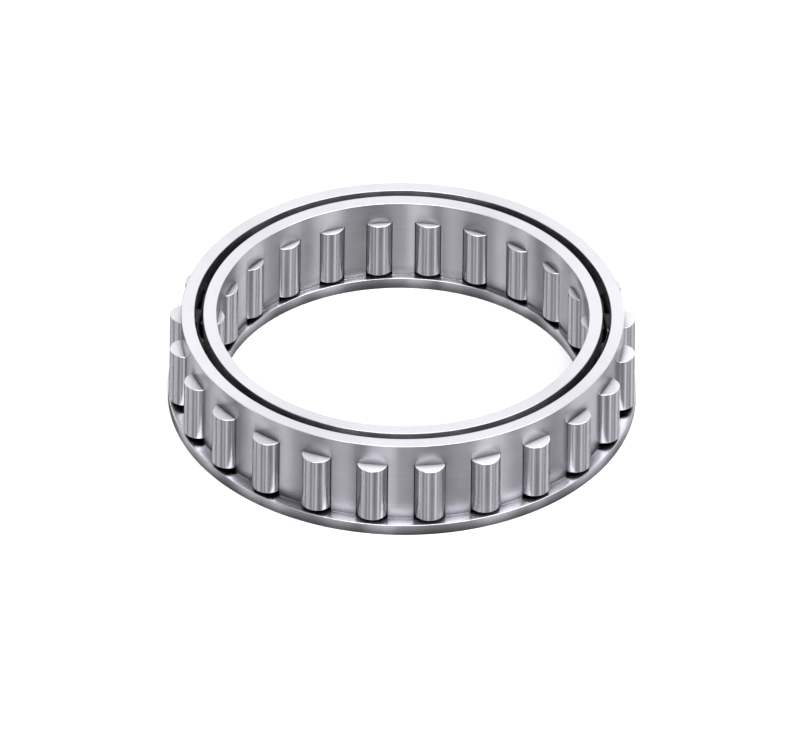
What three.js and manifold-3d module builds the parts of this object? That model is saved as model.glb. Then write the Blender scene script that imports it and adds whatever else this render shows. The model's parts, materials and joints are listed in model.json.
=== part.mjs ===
// Sprag freewheel insert with a double cage: an outer and an inner cage ring, a ring of sprags that stand
// in pockets in both, and a corrugated ribbon spring between the rings that holds the sprags up. It drops
// between a shaft and a housing bore, and lets them turn past each other one way only.
// Units are millimetres, +Z is the axis, and the origin is the centre of the face that the flanges stand on.
import * as THREE from "three";
import { mergeVertices } from "three/addons/utils/BufferGeometryUtils.js";
import Module from "manifold-3d";

const wasm = await Module();
wasm.setup();

// Driving dimensions
const INNER_RACE_R = 54.765 / 2; // shaft that the sprags run on
const OUTER_RACE_R = 71.425 / 2; // housing bore that the sprags run in
const WIDTH = 15.4; // both cages, along the axis
const SPRAG_COUNT = 24;
const HEAD_R = 2.35; // radius of a sprag's two rounded heads
const WAIST_FILLET_R = 0.2; // hollow in each flank of a sprag, between its heads
const SPRAG_BOTTOM = 2.6;
const SPRAG_TOP = 11.8;
const FLANGE_THICKNESS = 1.86;
const OUTER_CAGE = { inside: 31.75, outside: 33.75, flange: 35.65 };
const INNER_CAGE = { inside: 28.4, outside: 30.4, flange: 27.5 };
const POCKET_PLAY = 0.1; // between a sprag's head and its pocket, all round and above
const RIBBON = {
  thickness: 0.25,
  wave: 0.2, // half the height of its corrugation
  rail: 0.9, // height of the rail above and below the windows
  play: 0.5, // between a sprag's flank and its ribbon window
  tongue: { reach: 0.16, height: 2.4 }, // tab that leans towards one side of each sprag
  split: 0.8, // gap where the strip's two ends meet
};

// Fineness of the round shapes
const RING_STEPS = 96;
const HEAD_STEPS = 14;
const FILLET_STEPS = 3;
const POCKET_SIDES = 24;
const WAVE_STEPS = 6; // per sprag

// Worked out from them
const PITCH = (2 * Math.PI) / SPRAG_COUNT;
const OUTER_HEAD_AT = OUTER_RACE_R - HEAD_R; // radius of the circle of outer head centres
const INNER_HEAD_AT = INNER_RACE_R + HEAD_R;
const HEAD_SPACING = OUTER_HEAD_AT - INNER_HEAD_AT;
const POCKET_BOTTOM = FLANGE_THICKNESS; // flush with the top of the flange
const POCKET_TOP = SPRAG_TOP + POCKET_PLAY;
const RIBBON_AT = (OUTER_CAGE.inside + INNER_CAGE.outside) / 2;
const RIBBON_WINDOW = {
  bottom: SPRAG_BOTTOM - POCKET_PLAY,
  top: SPRAG_TOP + POCKET_PLAY,
  halfWidth: Math.sqrt(HEAD_R ** 2 - (RIBBON_AT - INNER_HEAD_AT) ** 2) + RIBBON.play,
};

// Colours and finishes
const MATERIALS = {
  cage: new THREE.MeshStandardMaterial({ color: 0xa3a3a8, roughness: 0.32, metalness: 1 }),
  sprag: new THREE.MeshStandardMaterial({ color: 0xb4b4b8, roughness: 0.22, metalness: 1 }),
  ribbon: new THREE.MeshStandardMaterial({ color: 0x3c3c42, roughness: 0.4, metalness: 1 }),
};

// A closed geometry as a solid that can be cut.
function solidOf(geometry) {
  const bare = geometry.clone();
  bare.deleteAttribute("normal");
  bare.deleteAttribute("uv");
  const merged = mergeVertices(bare, 1e-4);
  const mesh = new wasm.Mesh({
    numProp: 3,
    vertProperties: new Float32Array(merged.attributes.position.array),
    triVerts: new Uint32Array(merged.index.array),
  });
  return new wasm.Manifold(mesh);
}

// A cut solid as a geometry again.
function geometryOf(solid) {
  const { vertProperties, triVerts } = solid.getMesh();
  const geometry = new THREE.BufferGeometry();
  geometry.setAttribute("position", new THREE.BufferAttribute(vertProperties, 3));
  geometry.setIndex(new THREE.BufferAttribute(triVerts, 1));
  geometry.computeVertexNormals();
  return geometry;
}

// The azimuth of sprag number i, half a pitch round from +X for the first.
function azimuthOf(i) {
  return (i + 0.5) * PITCH;
}

// Takes a copy of a tool, drawn at azimuth 0, out of a solid at every sprag.
function cutAtEachSprag(solid, tool) {
  let rest = solid;
  for (let i = 0; i < SPRAG_COUNT; i++) {
    rest = rest.subtract(solidOf(tool.clone().rotateZ(azimuthOf(i))));
  }
  return rest;
}

// A ring turned about +Z from an outline of [radius, height] points.
function turnedRing(outline) {
  const points = [...outline, outline[0]].map(([radius, height]) => new THREE.Vector2(radius, height));
  return new THREE.LatheGeometry(points, RING_STEPS).rotateX(Math.PI / 2);
}

// A cage: an upright wall with a flange at its foot, and a round pocket for each sprag's head.
function cageGeometry(outline, headAt) {
  const pocket = new THREE.CylinderGeometry(
    HEAD_R + POCKET_PLAY,
    HEAD_R + POCKET_PLAY,
    POCKET_TOP - POCKET_BOTTOM,
    POCKET_SIDES,
  );
  pocket.rotateX(Math.PI / 2).translate(headAt, 0, (POCKET_TOP + POCKET_BOTTOM) / 2);
  return geometryOf(cutAtEachSprag(solidOf(turnedRing(outline)), pocket));
}

function outerCageGeometry() {
  const { inside, outside, flange } = OUTER_CAGE;
  const outline = [
    [inside, 0],
    [flange, 0],
    [flange, FLANGE_THICKNESS],
    [outside, FLANGE_THICKNESS],
    [outside, WIDTH],
    [inside, WIDTH],
  ];
  return cageGeometry(outline, OUTER_HEAD_AT);
}

function innerCageGeometry() {
  const { inside, outside, flange } = INNER_CAGE;
  const outline = [
    [flange, 0],
    [outside, 0],
    [outside, WIDTH],
    [inside, WIDTH],
    [inside, FLANGE_THICKNESS],
    [flange, FLANGE_THICKNESS],
  ];
  return cageGeometry(outline, INNER_HEAD_AT);
}

function arcPoints(x, y, radius, from, to, clockwise, steps) {
  return new THREE.EllipseCurve(x, y, radius, radius, from, to, clockwise).getPoints(steps);
}

// A sprag: two round heads joined by a waist, with the outer head's centre at the origin and the inner
// head towards -X. The waist's fillets run smoothly into both heads.
function spragGeometry() {
  const filletX = -HEAD_SPACING / 2;
  const filletY = Math.sqrt((HEAD_R + WAIST_FILLET_R) ** 2 - filletX ** 2);
  const meet = Math.atan2(filletY, -filletX); // from either head's centre line to where the fillet meets it
  const far = Math.PI - meet;
  const outline = [
    arcPoints(0, 0, HEAD_R, -far, far, false, HEAD_STEPS),
    arcPoints(filletX, filletY, WAIST_FILLET_R, -meet, -far, true, FILLET_STEPS).slice(1, -1),
    arcPoints(-HEAD_SPACING, 0, HEAD_R, meet, 2 * Math.PI - meet, false, HEAD_STEPS),
    arcPoints(filletX, -filletY, WAIST_FILLET_R, far, meet, true, FILLET_STEPS).slice(1, -1),
  ].flat();
  return new THREE.ExtrudeGeometry(new THREE.Shape(outline), {
    depth: SPRAG_TOP - SPRAG_BOTTOM,
    bevelEnabled: false,
  });
}

// One face of the corrugated strip, which swings in and out once for each sprag.
function ribbonFace(offset) {
  const steps = SPRAG_COUNT * WAVE_STEPS;
  const halfSplit = RIBBON.split / 2 / RIBBON_AT;
  const points = [];
  for (let i = 0; i <= steps; i++) {
    const azimuth = THREE.MathUtils.lerp(halfSplit, 2 * Math.PI - halfSplit, i / steps);
    const radius = RIBBON_AT + RIBBON.wave * Math.cos(SPRAG_COUNT * azimuth) + offset;
    points.push(new THREE.Vector2(radius * Math.cos(azimuth), radius * Math.sin(azimuth)));
  }
  return points;
}

// The tool for one ribbon window: it leaves a tongue standing on one side, half way up.
function ribbonWindow() {
  const { bottom, top, halfWidth } = RIBBON_WINDOW;
  const { reach, height } = RIBBON.tongue;
  const middle = (bottom + top) / 2;
  const shape = new THREE.Shape([
    new THREE.Vector2(-halfWidth, bottom),
    new THREE.Vector2(halfWidth, bottom),
    new THREE.Vector2(halfWidth, middle - height / 2),
    new THREE.Vector2(halfWidth - reach, middle - height / 2),
    new THREE.Vector2(halfWidth - reach, middle + height / 2),
    new THREE.Vector2(halfWidth, middle + height / 2),
    new THREE.Vector2(halfWidth, top),
    new THREE.Vector2(-halfWidth, top),
  ]);
  const tool = new THREE.ExtrudeGeometry(shape, { depth: OUTER_RACE_R, bevelEnabled: false });
  const tangentHeightRadius = new THREE.Matrix4().makeBasis(
    new THREE.Vector3(0, 1, 0),
    new THREE.Vector3(0, 0, 1),
    new THREE.Vector3(1, 0, 0),
  );
  return tool.applyMatrix4(tangentHeightRadius);
}

function ribbonGeometry() {
  const { thickness, rail } = RIBBON;
  const outline = [...ribbonFace(thickness / 2), ...ribbonFace(-thickness / 2).reverse()];
  const strip = new THREE.ExtrudeGeometry(new THREE.Shape(outline), {
    depth: RIBBON_WINDOW.top - RIBBON_WINDOW.bottom + 2 * rail,
    bevelEnabled: false,
  });
  strip.translate(0, 0, RIBBON_WINDOW.bottom - rail);
  return geometryOf(cutAtEachSprag(solidOf(strip), ribbonWindow()));
}

function piece(name, geometry, material) {
  const mesh = new THREE.Mesh(geometry, material);
  mesh.name = name;
  return mesh;
}

const insert = new THREE.Group();
insert.add(piece("outer_cage", outerCageGeometry(), MATERIALS.cage));
insert.add(piece("inner_cage", innerCageGeometry(), MATERIALS.cage));
insert.add(piece("ribbon_spring", ribbonGeometry(), MATERIALS.ribbon));

const oneSprag = spragGeometry();
for (let i = 0; i < SPRAG_COUNT; i++) {
  const sprag = piece(`sprag_${String(i + 1).padStart(2, "0")}`, oneSprag, MATERIALS.sprag);
  const azimuth = azimuthOf(i);
  sprag.position.set(OUTER_HEAD_AT * Math.cos(azimuth), OUTER_HEAD_AT * Math.sin(azimuth), SPRAG_BOTTOM);
  sprag.rotation.z = azimuth;
  insert.add(sprag);
}

export default insert;
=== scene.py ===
"""Looks of the double-cage sprag freewheel insert: fine bevelled meshes in place of the CAD's nodes."""
import json
import math
from types import SimpleNamespace

import bmesh
import bpy
from mathutils import Matrix, Vector


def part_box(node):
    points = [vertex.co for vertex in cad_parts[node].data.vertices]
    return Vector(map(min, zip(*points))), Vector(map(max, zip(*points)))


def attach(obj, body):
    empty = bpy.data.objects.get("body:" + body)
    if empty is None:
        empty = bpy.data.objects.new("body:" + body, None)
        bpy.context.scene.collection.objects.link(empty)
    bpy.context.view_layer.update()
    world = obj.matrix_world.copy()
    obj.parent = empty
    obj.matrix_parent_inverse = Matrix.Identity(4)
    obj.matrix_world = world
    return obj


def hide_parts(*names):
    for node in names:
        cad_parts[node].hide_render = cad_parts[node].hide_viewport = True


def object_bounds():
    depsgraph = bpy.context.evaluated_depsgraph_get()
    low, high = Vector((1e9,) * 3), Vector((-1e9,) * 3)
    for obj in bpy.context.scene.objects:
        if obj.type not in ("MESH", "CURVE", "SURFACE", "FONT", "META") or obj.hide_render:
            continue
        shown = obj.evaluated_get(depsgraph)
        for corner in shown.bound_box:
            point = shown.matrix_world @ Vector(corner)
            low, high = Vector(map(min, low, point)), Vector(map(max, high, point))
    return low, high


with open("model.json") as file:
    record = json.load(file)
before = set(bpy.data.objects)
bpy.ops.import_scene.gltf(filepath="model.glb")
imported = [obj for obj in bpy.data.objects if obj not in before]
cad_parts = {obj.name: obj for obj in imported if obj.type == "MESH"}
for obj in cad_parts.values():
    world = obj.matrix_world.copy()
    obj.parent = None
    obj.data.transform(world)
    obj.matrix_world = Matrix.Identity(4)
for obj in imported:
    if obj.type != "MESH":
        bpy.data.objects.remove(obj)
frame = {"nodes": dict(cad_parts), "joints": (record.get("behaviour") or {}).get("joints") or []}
cad_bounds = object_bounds()

# ---------------------------------------------------------------- sizes (metres)
MM = 0.001
POCKET_PLAY = 0.06 * MM  # beside a sprag's head, where the CAD has 0.1 mm
POCKET_ROOF_PLAY = 0.03 * MM  # above it
EDGE_BREAK = 0.09 * MM  # rounding of the cages' edges
SPRAG_EDGE_BREAK = 0.10 * MM
WAIST_FILLET_R = 0.2 * MM  # hollow in each flank of a sprag, between its heads
RIBBON_THICKNESS = 0.25 * MM
RAIL_HEIGHT = 0.9 * MM  # of the ribbon above and below its windows
WINDOW_HALF = 2.43 * MM  # half a window's width
SPLIT_HALF = 0.4 * MM  # half the gap where the ribbon's ends meet
TONGUE_REACH = 0.16 * MM
TONGUE_HEIGHT = 2.4 * MM
ROUNDING = 0.0005 * MM  # keeps the flange's rim inside the CAD's box
HEIGHT_MATCH = 0.02 * MM  # a CAD corner this near a height stands at it
SHARP_MATCH = 0.001 * MM  # and so does an edge that is left sharp

# Fineness of the meshes
POCKET_STEPS = 8  # round a pocket
WEB_STEPS = 8  # round the web between two pockets
WALL_STEPS = 8  # through a cage's wall
FLANGE_STEPS = 3  # across its flange
HEAD_STEPS = 44
FILLET_STEPS = 6
RIBBON_STEPS = 32  # for each sprag
BREAK_SEGMENTS = 3
BREAK_ANGLE = math.radians(35)  # an edge that turns by more than this is rounded
AREA_WEIGHT = 80  # how much a face's area counts in the shading of its corners
WEAR_LAYER = "edge_wear"


# ---------------------------------------------------------------- sizes read from the frame
def points_of(node):
    return [vertex.co for vertex in frame["nodes"][node].data.vertices]


def radius_of(point):
    return math.hypot(point.x, point.y)


def heights_of(node):
    """The different heights at which a node has corners, from the lowest up."""
    return sorted({round(point.z, 6) for point in points_of(node)})


def radii_at(node, height):
    """(least, most) distance from the axis of a node's corners at a height."""
    radii = [radius_of(point) for point in points_of(node) if abs(point.z - height) < HEIGHT_MATCH]
    return min(radii), max(radii)


def tilt_axis(name):
    """Where the CAD's hinge for a sprag stands: the centre of its outer head."""
    joint = next(j for j in frame["joints"] if j["child"] == name)
    return Vector((joint["pos_m"][0], joint["pos_m"][1], 0))


SPRAG_NAMES = sorted(name for name in frame["nodes"] if name.startswith("sprag_"))
SPRAG_COUNT = len(SPRAG_NAMES)
PITCH = 2 * math.pi / SPRAG_COUNT
OUTER_HEAD_AT = radius_of(tilt_axis(SPRAG_NAMES[0]))
SPRAG_REACH = [radius_of(point) for point in points_of(SPRAG_NAMES[0])]
HEAD_R = max(SPRAG_REACH) - OUTER_HEAD_AT
INNER_HEAD_AT = min(SPRAG_REACH) + HEAD_R
SPRAG_LOW, SPRAG_HIGH = (corner.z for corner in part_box(SPRAG_NAMES[0]))
POCKET_HIGH = SPRAG_HIGH + POCKET_ROOF_PLAY
CAGE_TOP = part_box("outer_cage")[1].z
FLANGE_TOP = heights_of("outer_cage")[1]
GAP_FROM = radii_at("inner_cage", CAGE_TOP)[1]
GAP_TO = radii_at("outer_cage", CAGE_TOP)[0]


# ---------------------------------------------------------------- meshes
def between(start, end, steps):
    """Evenly spaced values from start to end, both included."""
    return [start + (end - start) * k / steps for k in range(steps + 1)]


def break_edges(bm, width, sharp_height=None):
    """Rounds every sharp edge, and marks the outward strips as worn so that materials can brighten them.

    Level edges at sharp_height are left as they are cut.
    """
    bmesh.ops.recalc_face_normals(bm, faces=bm.faces)

    def is_left(edge):
        if sharp_height is None:
            return False
        return all(abs(corner.co.z - sharp_height) < SHARP_MATCH for corner in edge.verts)

    sharp = [edge for edge in bm.edges
             if edge.is_manifold and abs(edge.calc_face_angle()) > BREAK_ANGLE and not is_left(edge)]
    made = bmesh.ops.bevel(bm, geom=sharp, offset=width, segments=BREAK_SEGMENTS, profile=0.5,
                           affect="EDGES", clamp_overlap=True)
    wear = bm.loops.layers.float.new(WEAR_LAYER)
    for face in made["faces"]:
        turn = sum(edge.calc_face_angle_signed() for edge in face.edges if edge.is_manifold)
        for loop in face.loops:
            loop[wear] = 1.0 if turn > 0 else 0.0


def new_piece(name, bm, material, body, thickness=0.0):
    """Turns a bmesh into an object that stands for the CAD node of the same name and rides on its body."""
    mesh = bpy.data.meshes.new(name + "_fine")
    bm.to_mesh(mesh)
    bm.free()
    for polygon in mesh.polygons:
        polygon.use_smooth = True
    mesh.materials.append(material)
    piece = bpy.data.objects.new(name + "_fine", mesh)
    bpy.context.scene.collection.objects.link(piece)
    if thickness:
        solid = piece.modifiers.new("thickness", "SOLIDIFY")
        solid.thickness = thickness
        solid.offset = 0
    weighted = piece.modifiers.new("weighted_normals", "WEIGHTED_NORMAL")
    weighted.weight = AREA_WEIGHT
    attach(piece, body)
    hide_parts(name)


def pocket_half_angle(radius, head_at):
    """Half the angle that a sprag's pocket takes out of a circle round the axis."""
    pocket_r = HEAD_R + POCKET_PLAY
    cosine = (radius ** 2 + head_at ** 2 - pocket_r ** 2) / (2 * radius * head_at)
    return math.acos(cosine)


def column_angle(column, half):
    """The azimuth of a cage's grid column at a radius where half is half a pocket's angle."""
    sprag, step = divmod(column, POCKET_STEPS + WEB_STEPS)
    if step <= POCKET_STEPS:
        angle = -half + 2 * half * step / POCKET_STEPS
    else:
        angle = half + (PITCH - 2 * half) * (step - POCKET_STEPS) / WEB_STEPS
    return angle + (sprag + 0.5) * PITCH


def cage_rings(node):
    """The radii of a cage's grid rings from the inside out, and the rings its wall starts and ends at."""
    low, *_, high = heights_of(node)
    inside, outside = radii_at(node, high)
    foot_in, foot_out = radii_at(node, low)
    foot_out = foot_out - ROUNDING
    wall = between(inside, outside, WALL_STEPS)
    if foot_out > outside + EDGE_BREAK:
        brim = between(outside, foot_out, FLANGE_STEPS)[1:]
        return wall + brim, 0, WALL_STEPS
    brim = between(foot_in, inside, FLANGE_STEPS)[:-1]
    return brim + wall, FLANGE_STEPS, FLANGE_STEPS + WALL_STEPS


def cage_bmesh(node, head_at):
    """A cage with round pockets, as a grid of quads whose lines follow the pockets' walls."""
    steps = POCKET_STEPS + WEB_STEPS
    columns = SPRAG_COUNT * steps
    low, flange_top, _, high = heights_of(node)
    radii, wall_from, wall_to = cage_rings(node)
    bm = bmesh.new()
    corners = {}

    def corner(column, ring, level):
        key = (column % columns, ring, level)
        if key not in corners:
            radius = radii[ring]
            in_wall = min(max(radius, radii[wall_from]), radii[wall_to])
            angle = column_angle(key[0], pocket_half_angle(in_wall, head_at))
            corners[key] = bm.verts.new((radius * math.cos(angle), radius * math.sin(angle), level))
        return corners[key]

    def quad(*places):
        bm.faces.new([corner(*place) for place in places])

    def flat(column, ring, level):
        quad((column, ring, level), (column + 1, ring, level),
             (column + 1, ring + 1, level), (column, ring + 1, level))

    def upright(column, ring, below, above):
        quad((column, ring, below), (column + 1, ring, below),
             (column + 1, ring, above), (column, ring, above))

    def pocket_side(column, ring):
        quad((column, ring, flange_top), (column, ring + 1, flange_top),
             (column, ring + 1, POCKET_HIGH), (column, ring, POCKET_HIGH))

    flange_is_outside = wall_from == 0
    flange_side = wall_to if flange_is_outside else wall_from
    plain_side = wall_from if flange_is_outside else wall_to
    brim_rings = range(wall_to, len(radii) - 1) if flange_is_outside else range(0, wall_from)
    rim = len(radii) - 1 if flange_is_outside else 0
    for column in range(columns):
        in_pocket = column % steps < POCKET_STEPS
        for ring in range(len(radii) - 1):
            flat(column, ring, low)
        for ring in brim_rings:
            flat(column, ring, flange_top)
        upright(column, rim, low, flange_top)
        upright(column, plain_side, low, flange_top)
        for side in (flange_side, plain_side):
            upright(column, side, POCKET_HIGH, high)
            if not in_pocket:
                upright(column, side, flange_top, POCKET_HIGH)
        for ring in range(wall_from, wall_to):
            flat(column, ring, high)
            if in_pocket:
                flat(column, ring, flange_top)
                flat(column, ring, POCKET_HIGH)
            if column % steps in (0, POCKET_STEPS):
                pocket_side(column, ring)
    break_edges(bm, EDGE_BREAK, sharp_height=POCKET_HIGH)
    return bm


def arc(centre_x, centre_y, radius, start, end, steps):
    """Points from start to end round an arc, both ends included."""
    return [(centre_x + radius * math.cos(angle), centre_y + radius * math.sin(angle))
            for angle in between(start, end, steps)]


def sprag_outline():
    """A sprag's outline, with the outer head's centre at the origin and the inner head towards -X."""
    spacing = OUTER_HEAD_AT - INNER_HEAD_AT
    fillet = WAIST_FILLET_R
    fillet_x = -spacing / 2
    fillet_y = math.sqrt((HEAD_R + fillet) ** 2 - fillet_x ** 2)
    meet = math.atan2(fillet_y, -fillet_x)
    far = math.pi - meet
    return (arc(0, 0, HEAD_R, -far, far, HEAD_STEPS)
            + arc(fillet_x, fillet_y, fillet, -meet, -far, FILLET_STEPS)[1:-1]
            + arc(-spacing, 0, HEAD_R, meet, 2 * math.pi - meet, HEAD_STEPS)
            + arc(fillet_x, -fillet_y, fillet, far, meet, FILLET_STEPS)[1:-1])


def sprag_bmesh(name):
    """A sprag where it stands: its outline drawn up the axis, with the edges of both ends rounded."""
    hinge = tilt_axis(name)
    place = Matrix.Translation(hinge) @ Matrix.Rotation(math.atan2(hinge.y, hinge.x), 4, "Z")
    bm = bmesh.new()
    outline = sprag_outline()
    below = [bm.verts.new(place @ Vector((x, y, SPRAG_LOW))) for x, y in outline]
    above = [bm.verts.new(place @ Vector((x, y, SPRAG_HIGH))) for x, y in outline]
    bm.faces.new(reversed(below))
    bm.faces.new(above)
    for k in range(len(outline)):
        after = (k + 1) % len(outline)
        bm.faces.new([below[k], below[after], above[after], above[k]])
    break_edges(bm, SPRAG_EDGE_BREAK)
    return bm


def ribbon_columns(middle, window):
    """The azimuths of the strip's upright grid lines, one of them on each edge of each window."""
    marks = sorted({k / RIBBON_STEPS for k in range(RIBBON_STEPS)} | {0.5 - window, 0.5 + window})
    columns = [PITCH * (sprag + mark) for sprag in range(SPRAG_COUNT) for mark in marks]
    first = SPLIT_HALF / middle
    last = 2 * math.pi - first
    return [first] + [angle for angle in columns if first < angle < last] + [last]


def ribbon_bmesh():
    """The corrugated strip, windowed at each sprag and split at +X, with a bent tongue in each window."""
    low, high = (corner.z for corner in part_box("ribbon_spring"))
    radii = [radius_of(point) for point in points_of("ribbon_spring")]
    middle = (min(radii) + max(radii)) / 2
    wave = (max(radii) - min(radii) - RIBBON_THICKNESS) / 2
    window = WINDOW_HALF / middle / PITCH
    tongue_low, tongue_high = (low + high - TONGUE_HEIGHT) / 2, (low + high + TONGUE_HEIGHT) / 2
    rows = [low, low + RAIL_HEIGHT, tongue_low, tongue_high, high - RAIL_HEIGHT, high]
    above_tongue = rows.index(tongue_high)
    columns = ribbon_columns(middle, window)
    bm = bmesh.new()

    def point(angle, z):
        radius = middle + wave * math.cos(SPRAG_COUNT * angle)
        return bm.verts.new((radius * math.cos(angle), radius * math.sin(angle), z))

    grid = [[point(angle, z) for z in rows] for angle in columns]
    for k in range(len(columns) - 1):
        centre = (columns[k] + columns[k + 1]) / 2
        in_window = abs((centre / PITCH) % 1 - 0.5) < window
        for row in range(len(rows) - 1):
            in_rail = row in (0, len(rows) - 2)
            if in_rail or not in_window:
                bm.faces.new([grid[k][row], grid[k + 1][row], grid[k + 1][row + 1], grid[k][row + 1]])
    for sprag in range(SPRAG_COUNT):
        root = PITCH * (sprag + 0.5 - window)
        edge = min(range(len(columns)), key=lambda k: abs(columns[k] - root))
        tip = [point(root + TONGUE_REACH / middle, z) for z in (tongue_low, tongue_high)]
        bm.faces.new([grid[edge][above_tongue - 1], tip[0], tip[1], grid[edge][above_tongue]])
    return bm


# ---------------------------------------------------------------- node helpers
def node_tree(owner):
    """The node tree of a material or a world, emptied."""
    owner.use_nodes = True
    owner.node_tree.nodes.clear()
    return owner.node_tree


def link(tree, source, target):
    tree.links.new(source, target)


def math_node(tree, operation, *values):
    """A Math node on one or two values, each a socket or a number."""
    node = tree.nodes.new("ShaderNodeMath")
    node.operation = operation
    for socket, value in zip(node.inputs, values):
        if isinstance(value, (int, float)):
            socket.default_value = value
        else:
            link(tree, value, socket)
    return node.outputs[0]


def product(tree, first, *others):
    for other in others:
        first = math_node(tree, "MULTIPLY", first, other)
    return first


def total(tree, first, *others):
    for other in others:
        first = math_node(tree, "ADD", first, other)
    return first


def rest(tree, value):
    """What a value leaves of 1."""
    return math_node(tree, "SUBTRACT", 1.0, value)


def blend(tree, first, second, share):
    """A share of the first value, and the rest of the second."""
    return total(tree, product(tree, first, share), product(tree, second, 1 - share))


def remap(tree, value, start, end, at_start, at_end):
    """at_start where the value is start or less, at_end where it is end or more, and even between."""
    node = tree.nodes.new("ShaderNodeMapRange")
    node.inputs["From Min"].default_value = start
    node.inputs["From Max"].default_value = end
    node.inputs["To Min"].default_value = at_start
    node.inputs["To Max"].default_value = at_end
    link(tree, value, node.inputs["Value"])
    return node.outputs["Result"]


def rise(tree, value, start, end, low=0.0):
    return remap(tree, value, start, end, low, 1.0)


def fall(tree, value, start, end, low=0.0):
    return remap(tree, value, start, end, 1.0, low)


def noise(tree, vector, scale, detail, roughness):
    node = tree.nodes.new("ShaderNodeTexNoise")
    node.inputs["Scale"].default_value = scale
    node.inputs["Detail"].default_value = detail
    node.inputs["Roughness"].default_value = roughness
    link(tree, vector, node.inputs["Vector"])
    return node.outputs["Fac"]


def mix_colour(tree, factor, first, second):
    """The first colour where the factor is 0 and the second where it is 1, each a socket or a tuple."""
    node = tree.nodes.new("ShaderNodeMix")
    node.data_type = "RGBA"
    link(tree, factor, node.inputs["Factor"])
    for name, value in (("A", first), ("B", second)):
        if isinstance(value, tuple):
            node.inputs[name].default_value = (*value, 1)
        else:
            link(tree, value, node.inputs[name])
    return node.outputs["Result"]


def tinted(colour, share):
    return tuple(min(1.0, channel * share) for channel in colour)


# ---------------------------------------------------------------- steel
GROUND_BRIGHT = (0.63, 0.625, 0.655)  # the ground ends, and edges that are rubbed bright
# near-black painted shade, laid over the walls' corners above the sprags and the flange
LEDGE_SHADE_COLOUR = (0.02, 0.02, 0.022)
GLANCING_TINT = (0.8, 0.8, 0.81, 1)  # dims what the steel mirrors at a low angle
PAINTED_SHADE_SHARE = 0.04  # how much of the sides' colour is left in the painted shade of a crevice

# Noise: (scale per metre, detail, roughness)
FINE_LINES = (9000.0, 3.0, 0.6)
COARSE_LINES = (2400.0, 2.0, 0.5)
CLOUD = (160.0, 3.0, 0.55)
LINE_STRETCH = 0.02  # squeezes heights, so that lines run up the axis
FINE_SHARE = 0.4  # of the fine lines in all the lines
LINES_IN_ROUGHNESS = 0.3  # share of the lines, against the cloud
LINE_DEPTH = 0.02 * MM

# Openness is what ambient occlusion leaves within this reach: 1 on an open face, 0 deep in a crevice.
OPENNESS_REACH = 2.0 * MM
OPENNESS_SAMPLES = 6

# Ranges over which the looks change: of openness, of flatness (0 on a wall, 1 on a level face), of noise
# Openness over which the shade painted into the crevices gives way, on upright and on level faces
SHADED_UPRIGHT = (0.0, 0.12)
SHADED_LEVEL = (0.40, 0.56)
LEDGE_SHADE_OPENNESS = (0.64, 0.98)
MATT_OPENNESS = (0.40, 0.60)
LEVEL_FLATNESS = (0.6, 0.9)
WALL_FLATNESS = (0.90, 0.97)
STREAK_NOISE = (0.3, 0.7)
WEAR_NOISE = (0.35, 0.6)
ROUGH_NOISE = (0.35, 0.65)
LEAST_WEAR = 0.35
QUARTER_TURN = 0.25

GROUND_HEIGHT = (CAGE_TOP - 0.3 * MM, CAGE_TOP - 0.2 * MM)  # where the cages' ground ends start
LEDGE_SHADE_DROP = 0.4 * MM  # the painted shade starts this far below the sprags' tops, and is full at them
LEDGE_SHADE_ON_FLANGE = FLANGE_TOP + 0.6 * MM  # full up to here
LEDGE_SHADE_THIN_FROM = FLANGE_TOP + 2.4 * MM  # and thin from here
THIN_LEDGE_SHADE = 0.3  # share of the painted shade that is left away from the ledges
GAP_BLUR = 0.05 * MM


def surface_of(tree):
    """What the looks are worked out from: where a point is, which way it faces and how open it is."""
    place = tree.nodes.new("ShaderNodeTexCoord").outputs["Object"]
    split = tree.nodes.new("ShaderNodeSeparateXYZ")
    link(tree, place, split.inputs[0])
    x, y, z = split.outputs
    radius = math_node(tree, "SQRT", total(tree, product(tree, x, x), product(tree, y, y)))
    facing = tree.nodes.new("ShaderNodeSeparateXYZ")
    link(tree, tree.nodes.new("ShaderNodeNewGeometry").outputs["True Normal"], facing.inputs[0])
    flatness = math_node(tree, "ABSOLUTE", facing.outputs[2])
    occlusion = tree.nodes.new("ShaderNodeAmbientOcclusion")
    occlusion.samples = OPENNESS_SAMPLES
    occlusion.inputs["Distance"].default_value = OPENNESS_REACH
    level = rise(tree, flatness, *LEVEL_FLATNESS)
    return SimpleNamespace(place=place, x=x, y=y, z=z, radius=radius, flatness=flatness, level=level,
                           upright=rest(tree, level), openness=occlusion.outputs["AO"])


def machining_lines(tree, at, lines_up):
    """Fine and coarse lines, up the axis or round it."""
    along = tree.nodes.new("ShaderNodeCombineXYZ")
    if lines_up:
        link(tree, at.x, along.inputs[0])
        link(tree, at.y, along.inputs[1])
        link(tree, product(tree, at.z, LINE_STRETCH), along.inputs[2])
    else:
        link(tree, at.radius, along.inputs[0])
        link(tree, at.z, along.inputs[1])
    fine = noise(tree, along.outputs[0], *FINE_LINES)
    coarse = noise(tree, along.outputs[0], *COARSE_LINES)
    return blend(tree, fine, coarse, FINE_SHARE)


def edge_wear(tree, cloud):
    """How bright the rounded outward edges are rubbed, in patches."""
    mark = tree.nodes.new("ShaderNodeAttribute")
    mark.attribute_name = WEAR_LAYER
    return product(tree, mark.outputs["Fac"], rise(tree, cloud, *WEAR_NOISE, low=LEAST_WEAR))


def free_of_painted_shade(tree, at):
    """0 where shade is painted into the crevices, and 1 outside them. A level face counts as a crevice
    sooner than an upright one.
    """
    unshaded_upright = rise(tree, at.openness, *SHADED_UPRIGHT)
    unshaded_level = rise(tree, at.openness, *SHADED_LEVEL)
    return total(tree, product(tree, unshaded_upright, at.upright), product(tree, unshaded_level, at.level))


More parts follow.
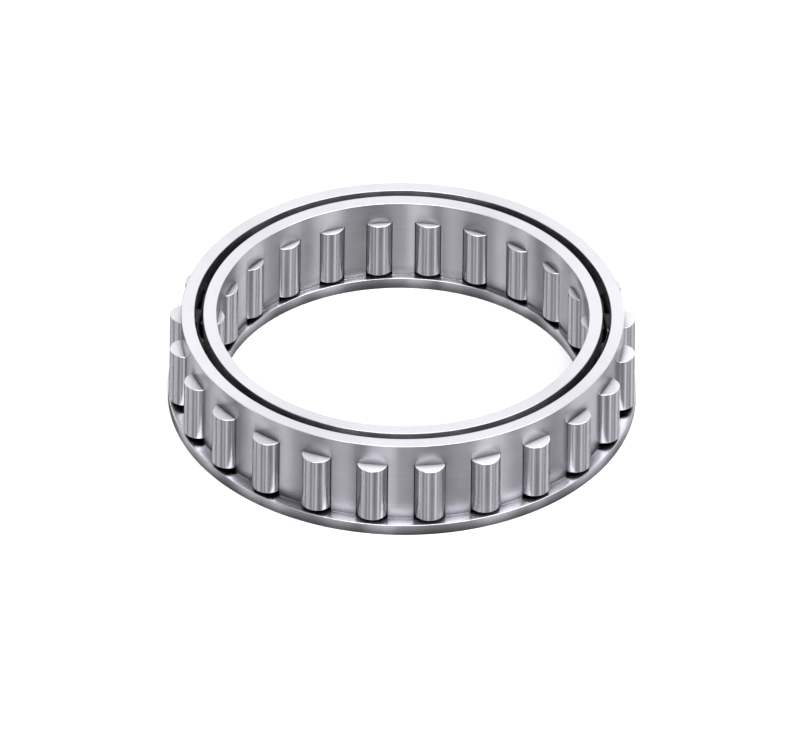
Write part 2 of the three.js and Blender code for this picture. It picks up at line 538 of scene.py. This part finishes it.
def ledge_painted_shade(tree, at):
    """Shade painted into a wall's open corners, standing in for contact shade and dimming the sprags' tops
    mirrored in the wall: most over the sprags and the flange, and none between the cages.
    """
    in_corner = product(tree, fall(tree, at.openness, *LEDGE_SHADE_OPENNESS),
                        fall(tree, at.flatness, *WALL_FLATNESS))
    above_sprags = rise(tree, at.z, SPRAG_HIGH - LEDGE_SHADE_DROP, SPRAG_HIGH, low=THIN_LEDGE_SHADE)
    above_flange = fall(tree, at.z, LEDGE_SHADE_ON_FLANGE, LEDGE_SHADE_THIN_FROM, low=THIN_LEDGE_SHADE)
    on_ledge = math_node(tree, "MAXIMUM", above_sprags, above_flange)
    in_gap = product(tree, rise(tree, at.radius, GAP_FROM - GAP_BLUR, GAP_FROM),
                     fall(tree, at.radius, GAP_TO, GAP_TO + GAP_BLUR))
    return product(tree, in_corner, on_ledge, rest(tree, in_gap))


def brushed_shader(tree):
    """A metal shader whose mirror images are drawn out up the axis, so that upright bands stay sharp."""
    shader = tree.nodes.new("ShaderNodeBsdfPrincipled")
    output = tree.nodes.new("ShaderNodeOutputMaterial")
    link(tree, shader.outputs[0], output.inputs[0])
    shader.inputs["Metallic"].default_value = 1.0
    shader.inputs["Specular Tint"].default_value = GLANCING_TINT
    shader.inputs["Anisotropic"].default_value = 1.0
    shader.inputs["Anisotropic Rotation"].default_value = QUARTER_TURN
    tangent = tree.nodes.new("ShaderNodeTangent")
    tangent.direction_type = "RADIAL"
    tangent.axis = "Z"
    link(tree, tangent.outputs[0], shader.inputs["Tangent"])
    return shader


def line_bump(tree, at, lines, strength):
    """The normal of an upright face with its machining lines cut in."""
    bump = tree.nodes.new("ShaderNodeBump")
    bump.inputs["Strength"].default_value = strength
    bump.inputs["Distance"].default_value = LINE_DEPTH
    link(tree, product(tree, lines, at.upright), bump.inputs["Height"])
    return bump.outputs[0]


def steel(name, side, end, roughness, contrast, bump, lines_up=False, ledge_shade=0.0, matt_ends=0.0):
    """Bare steel with fine machining lines: up the axis on drawn work, round it on turned work.

    side and end are the colours of upright and of level faces, contrast is how much the lines vary the
    side, and roughness is (least, most). The cages' free ends are ground bright, shade is painted into the
    crevices by ambient occlusion, and rubbing brightens the outward edges. The second-to-last argument is
    how dark the shade painted above the ledges is, and matt_ends is how far the level faces fall short of
    bare metal.
    """
    material = bpy.data.materials.new(name)
    tree = node_tree(material)
    shader = brushed_shader(tree)
    at = surface_of(tree)
    lines = machining_lines(tree, at, lines_up)
    cloud = noise(tree, at.place, *CLOUD)

    streak = rise(tree, lines, *STREAK_NOISE)
    sides = mix_colour(tree, streak, tinted(side, 1 - contrast), tinted(side, 1 + contrast))
    ground = rise(tree, at.z, *GROUND_HEIGHT)
    colour = mix_colour(tree, at.level, sides, mix_colour(tree, ground, end, GROUND_BRIGHT))
    # painted shade over the ledges: the walls' corners above the sprags and the flange are darkened in the
    # colour
    if ledge_shade:
        colour = mix_colour(tree, product(tree, ledge_painted_shade(tree, at), ledge_shade), colour, LEDGE_SHADE_COLOUR)
    colour = mix_colour(tree, edge_wear(tree, cloud), colour, GROUND_BRIGHT)
    # painted shade: crevices, gaps and the flange under the heads, found by ambient occlusion, are darkened
    # in the colour
    colour = mix_colour(tree, free_of_painted_shade(tree, at), tinted(side, PAINTED_SHADE_SHARE), colour)
    link(tree, colour, shader.inputs["Base Color"])

    if matt_ends:
        in_open = rise(tree, at.openness, *MATT_OPENNESS)
        matt = product(tree, at.level, rest(tree, ground), in_open, matt_ends)
        link(tree, rest(tree, matt), shader.inputs["Metallic"])
    grain = blend(tree, lines, cloud, LINES_IN_ROUGHNESS)
    link(tree, remap(tree, grain, *ROUGH_NOISE, *roughness), shader.inputs["Roughness"])
    link(tree, line_bump(tree, at, lines, bump), shader.inputs["Normal"])
    return material


def cage_steel():
    return steel("cage_steel", side=(0.475, 0.47, 0.503), end=(0.55, 0.545, 0.575),
                 roughness=(0.19, 0.26), contrast=0.06, bump=0.08, ledge_shade=0.8)


def sprag_steel():
    return steel("sprag_steel", side=(0.46, 0.455, 0.488), end=(0.61, 0.605, 0.63),
                 roughness=(0.18, 0.25), contrast=0.10, bump=0.08, lines_up=True, matt_ends=0.55)


def spring_steel():
    # dark like blued spring steel, a darkness also chosen as painted shade, so that the gap between the
    # cages, where the ribbon shows, reads dark
    return steel("spring_steel", side=(0.22, 0.22, 0.23), end=(0.22, 0.22, 0.23),
                 roughness=(0.30, 0.40), contrast=0.10, bump=0.10)


# ---------------------------------------------------------------- the pieces
def add_pieces():
    cage_material = cage_steel()
    for cage, head_at in (("outer_cage", OUTER_HEAD_AT), ("inner_cage", INNER_HEAD_AT)):
        new_piece(cage, cage_bmesh(cage, head_at), cage_material, cage)
    sprag_material = sprag_steel()
    for name in SPRAG_NAMES:
        new_piece(name, sprag_bmesh(name), sprag_material, name)
    new_piece("ribbon_spring", ribbon_bmesh(), spring_steel(), "ribbon_spring",
              RIBBON_THICKNESS)


# ---------------------------------------------------------------- floor
FLOOR_HALF = 2.5
FLOOR_GAP = 0.01 * MM  # below the cages' feet, so that the two don't share a plane
SHEET_DROP = 50 * MM
PAPER = (0.97, 0.968, 0.97, 1)
PAPER_ROUGHNESS = 0.9
PAPER_SPECULAR = 0.1


def floor_paper():
    material = bpy.data.materials.new("floor_paper")
    tree = node_tree(material)
    shader = tree.nodes.new("ShaderNodeBsdfPrincipled")
    output = tree.nodes.new("ShaderNodeOutputMaterial")
    link(tree, shader.outputs[0], output.inputs[0])
    shader.inputs["Base Color"].default_value = PAPER
    shader.inputs["Roughness"].default_value = PAPER_ROUGHNESS
    shader.inputs["Specular IOR Level"].default_value = PAPER_SPECULAR
    return material


def white_sheet():
    material = bpy.data.materials.new("white_sheet")
    tree = node_tree(material)
    white = tree.nodes.new("ShaderNodeEmission")
    output = tree.nodes.new("ShaderNodeOutputMaterial")
    link(tree, white.outputs[0], output.inputs[0])
    material.cycles.emission_sampling = "NONE"
    return material


def stage_plane(name, height, material):
    """A wide level plane. Mirror rays pass through it, so the steel shows the studio's lower half."""
    bm = bmesh.new()
    signs = ((-1, -1), (1, -1), (1, 1), (-1, 1))
    bm.faces.new([bm.verts.new((x * FLOOR_HALF, y * FLOOR_HALF, height)) for x, y in signs])
    mesh = bpy.data.meshes.new(name)
    bm.to_mesh(mesh)
    bm.free()
    mesh.materials.append(material)
    plane = bpy.data.objects.new(name, mesh)
    bpy.context.scene.collection.objects.link(plane)
    plane.visible_glossy = False
    return plane


def floor():
    """A plain pale floor, and below it a white sheet that lights nothing and only the camera sees.

    In a low view the bottom of a parallel camera's picture starts under the floor, and shows the sheet.
    """
    stage_plane("floor", -FLOOR_GAP, floor_paper())
    sheet = stage_plane("under_floor", -SHEET_DROP, white_sheet())
    sheet.visible_diffuse = False
    sheet.visible_transmission = False
    sheet.visible_shadow = False


# ---------------------------------------------------------------- studio
# Azimuths and widths are in degrees. A height is that of a direction: -1 straight down, 1 straight up.

# Upright soft strips, set where the photograph shows bands: (azimuth, half width, strength).
STRIPS = (
    (-169, 5, 1.30), (-153, 5, 0.90), (-140, 7, 0.14), (-122, 7, 0.45), (-100, 7, 0.58), (-90, 10, 0.22),
    (-56, 9, 0.10), (-42, 8, 0.92), (-19, 5, 0.80), (-3, 8, 0.12), (12, 5, 1.45), (27, 5, 1.45),
    (40, 5, 0.10), (58, 5, 2.00), (77, 6, 0.90), (112, 14, -0.28), (137, 7, 1.50), (161, 5, 1.35),
)
STRIP_CORE, STRIP_EDGE = 0.2, 1.4  # in half widths: full within the first, nothing past the second
STRIP_FADE = (0.15, 0.45)  # heights over which the strips end and the dims begin

LOW_LEVEL, DOME_LEVEL = 0.29, 1.50  # strength of the lower half and of the dome
DOME_RISE = (0.05, 0.45)  # heights over which the one turns into the other
ZENITH_SHARE = 0.75  # of the dome's level straight up
ZENITH_FADE = (0.75, 0.95)

KEY_AZIMUTH, KEY_STRENGTH = -66, 5.2
KEY_CORE, KEY_EDGE = 50, 80
KEY_RISE = (0.30, 0.50)  # heights over which it starts. It ends over ZENITH_FADE.

DIMS = ((180, 0.50), (5, 0.60))  # darker sides of the dome: (azimuth, share of the light that is lost)
DIM_CORE, DIM_EDGE = 20, 75
STUDIO_TINT = (1.0, 1.0, 1.012, 1)


def vector_node(tree, operation, vector):
    node = tree.nodes.new("ShaderNodeVectorMath")
    node.operation = operation
    link(tree, vector, node.inputs[0])
    return node


def compass_of(tree, direction):
    """The level unit vector under or over a direction."""
    level = vector_node(tree, "MULTIPLY", direction)
    level.inputs[1].default_value = (1, 1, 0)
    return vector_node(tree, "NORMALIZE", level.outputs[0]).outputs[0]


def glow(tree, compass, azimuth, core, edge):
    """1 within core degrees of an azimuth, falling softly to 0 at edge degrees."""
    turn = math.radians(azimuth)
    near = vector_node(tree, "DOT_PRODUCT", compass)
    near.inputs[1].default_value = (math.cos(turn), math.sin(turn), 0.0)
    soft = tree.nodes.new("ShaderNodeMapRange")
    soft.interpolation_type = "SMOOTHSTEP"
    soft.inputs["From Min"].default_value = math.cos(math.radians(edge))
    soft.inputs["From Max"].default_value = math.cos(math.radians(core))
    link(tree, near.outputs["Value"], soft.inputs["Value"])
    return soft.outputs["Result"]


def strips_light(tree, compass):
    strips = []
    for azimuth, half_width, strength in STRIPS:
        core, edge = half_width * STRIP_CORE, half_width * STRIP_EDGE
        strips.append(product(tree, glow(tree, compass, azimuth, core, edge), strength))
    return total(tree, *strips)


def dome_light(tree, compass, height, high_up):
    dome = remap(tree, height, *DOME_RISE, LOW_LEVEL, DOME_LEVEL)
    for azimuth, share in DIMS:
        loss = product(tree, glow(tree, compass, azimuth, DIM_CORE, DIM_EDGE), share, high_up)
        dome = product(tree, dome, rest(tree, loss))
    return product(tree, dome, fall(tree, height, *ZENITH_FADE, low=ZENITH_SHARE))


def key_light(tree, compass, height):
    in_band = product(tree, rise(tree, height, *KEY_RISE), fall(tree, height, *ZENITH_FADE))
    return product(tree, glow(tree, compass, KEY_AZIMUTH, KEY_CORE, KEY_EDGE), in_band, KEY_STRENGTH)


def studio():
    """A pale dome over a dimmer lower half, with soft upright strips low down and one large key light."""
    world = bpy.data.worlds.new("studio")
    bpy.context.scene.world = world
    tree = node_tree(world)
    output = tree.nodes.new("ShaderNodeOutputWorld")
    background = tree.nodes.new("ShaderNodeBackground")
    link(tree, background.outputs[0], output.inputs[0])
    direction = tree.nodes.new("ShaderNodeTexCoord").outputs["Generated"]
    split = tree.nodes.new("ShaderNodeSeparateXYZ")
    link(tree, direction, split.inputs[0])
    height = split.outputs[2]
    compass = compass_of(tree, direction)

    low_down = fall(tree, height, *STRIP_FADE)
    dome = dome_light(tree, compass, height, rest(tree, low_down))
    strips = product(tree, strips_light(tree, compass), low_down)
    key = key_light(tree, compass, height)
    background.inputs["Color"].default_value = STUDIO_TINT
    link(tree, total(tree, dome, strips, key), background.inputs["Strength"])


# ---------------------------------------------------------------- camera
ELEVATION, ROLL = math.radians(36.58), math.radians(0.65)
VIEW_WIDTH = 121.8 * MM
AIM_LEFT = 0.364 * MM  # the view's middle, from the object's
AIM_DOWN = 1.638 * MM
CAMERA_DISTANCE = 0.6


def camera():
    """A parallel view at the photograph's angle."""
    back = Vector((0, -math.cos(ELEVATION), math.sin(ELEVATION)))
    level = Vector((1, 0, 0))
    upward = back.cross(level)
    right = level * math.cos(ROLL) + upward * math.sin(ROLL)
    up = upward * math.cos(ROLL) - level * math.sin(ROLL)
    middle = Vector((0, 0, (cad_bounds[0][2] + cad_bounds[1][2]) / 2))
    aim = middle - right * AIM_LEFT - up * AIM_DOWN
    data = bpy.data.cameras.new("camera")
    data.type = "ORTHO"
    data.ortho_scale = VIEW_WIDTH
    eye = bpy.data.objects.new("camera", data)
    bpy.context.scene.collection.objects.link(eye)
    facing = Matrix((right, up, back)).transposed().to_4x4()
    eye.matrix_world = Matrix.Translation(aim + back * CAMERA_DISTANCE) @ facing
    bpy.context.scene.camera = eye


add_pieces()
floor()
studio()
camera()
bpy.context.scene.view_settings.view_transform = "Standard"
